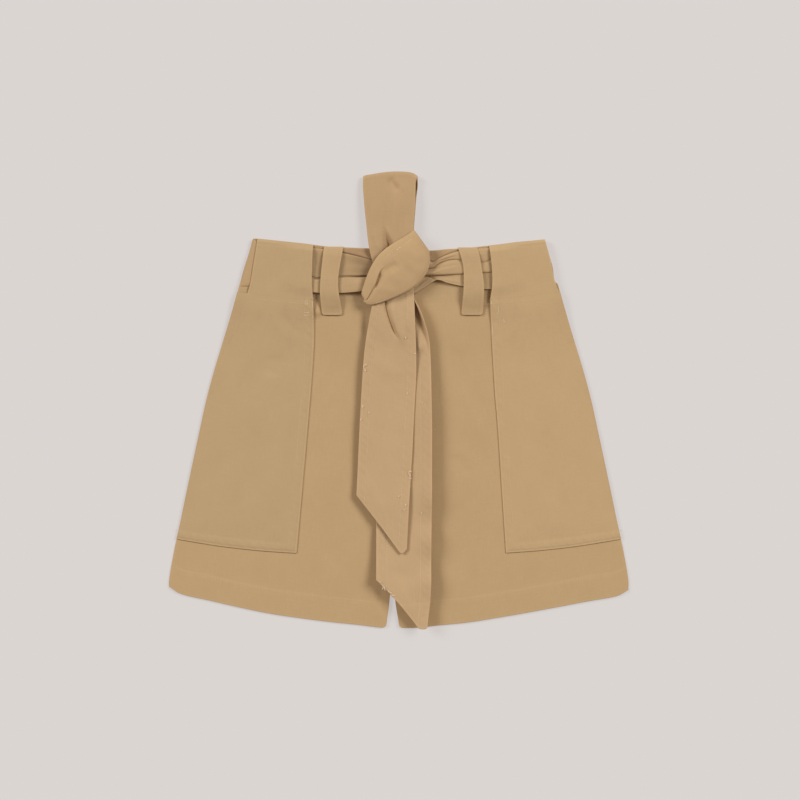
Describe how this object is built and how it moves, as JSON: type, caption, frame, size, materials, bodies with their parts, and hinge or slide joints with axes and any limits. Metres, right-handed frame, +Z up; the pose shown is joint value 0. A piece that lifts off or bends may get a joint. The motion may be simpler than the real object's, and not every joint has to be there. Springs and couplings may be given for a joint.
{
  "type": "belted utility shorts, laid flat",
  "caption": "High-rise cotton twill shorts laid flat, with large patch pockets, side waist panels that the belt runs under, belt loops and a wide belt tied in a half bow.",
  "frame": {"origin": "middle of the bounding box's underside, on the table the shorts lie on", "axes": "+X to the viewer's right, +Y from the hems towards the waist, +Z up from the table, through the thickness of the cloth"},
  "size_m": [0.482, 0.48, 0.018],
  "materials": {
    "twill_leg": "matte camel cotton twill, piece dyed",
    "twill_waist": "matte camel cotton twill, topstitched",
    "twill_pocket": "matte camel cotton twill, twin-needle stitched",
    "twill_belt": "matte camel cotton twill, creased where it is tied"
  },
  "bodies": {
    "root": {"back_left": "twill_leg", "back_right": "twill_leg", "front_left": "twill_leg", "front_right": "twill_leg", "waistband_back": "twill_waist", "waistband_front_left": "twill_waist", "waistband_front_right": "twill_waist", "belt_loop_left": "twill_waist", "belt_loop_right": "twill_waist", "belt_loop_back": "twill_waist", "pocket_left": "twill_pocket", "pocket_right": "twill_pocket", "side_panel_left": "twill_pocket", "side_panel_right": "twill_pocket", "belt_back": "twill_belt", "belt_side_left": "twill_belt", "belt_side_right": "twill_belt", "belt_left": "twill_belt", "belt_right": "twill_belt", "belt_knot": "twill_belt", "belt_bow": "twill_belt", "belt_tail_front": "twill_belt", "belt_tail_rear": "twill_belt"}
  },
  "joints": []
}
